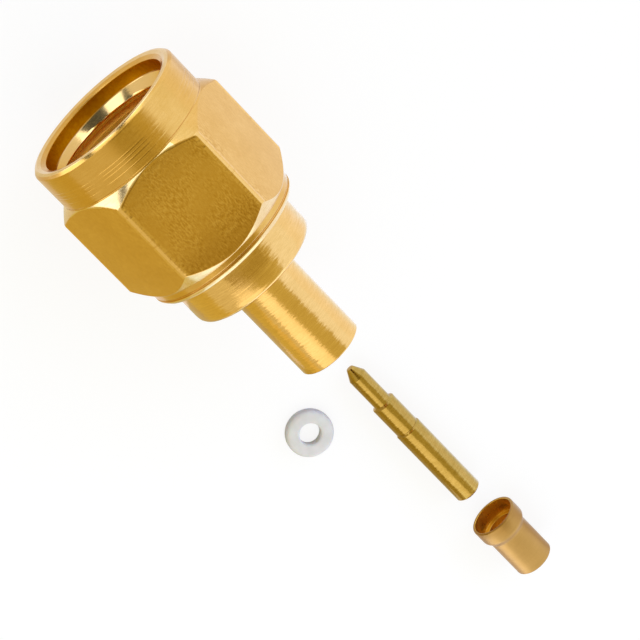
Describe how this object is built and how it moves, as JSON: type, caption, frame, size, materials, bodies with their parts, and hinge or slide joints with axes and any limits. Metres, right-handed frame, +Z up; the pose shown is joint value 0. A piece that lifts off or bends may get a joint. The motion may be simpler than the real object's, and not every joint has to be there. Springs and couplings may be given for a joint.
{
  "type": "coaxial plug connector",
  "caption": "Straight coaxial plug with a hexagonal coupling nut, barrel and crimp stem, and its loose stepped centre contact, insulating washer and flanged cable ferrule.",
  "frame": {"origin": "on the plug's axis, in the reference plane where the plug's outer conductor meets the jack's", "axes": "-Y along the axis towards the mating end, +Z up from the surface that one flat of the nut lies on, +X to the side of the loose washer"},
  "size_m": [0.0092, 0.0316, 0.008],
  "materials": {
    "gold_nut": "gold plate, fine turned and milled marks",
    "gold_ring": "gold plated spring wire",
    "gold_body": "gold plate, fine turned marks",
    "ptfe": "waxy white",
    "silicone": "matte rubber",
    "gold_contact": "gold plate",
    "ptfe_washer": "waxy white",
    "gold_ferrule": "satin gold plate"
  },
  "bodies": {
    "plug_body": {"connector_body": "gold_body", "front_insulator": "ptfe", "gasket": "silicone", "centre_contact": "gold_contact", "insulator_washer": "ptfe_washer", "cable_ferrule": "gold_ferrule"},
    "ring": {"retaining_ring": "gold_ring"},
    "nut": {"coupling_nut": "gold_nut"}
  },
  "joints": [
    {"name": "nut_float", "type": "slide", "parent": "plug_body", "child": "ring", "axis": [0, 1, 0], "range_m": [-0.00015, 0.00015]},
    {"name": "nut_spin", "type": "hinge", "parent": "ring", "child": "nut", "pos_m": [0, 0.0041, 0], "axis": [0, -1, 0], "continuous": true}
  ]
}
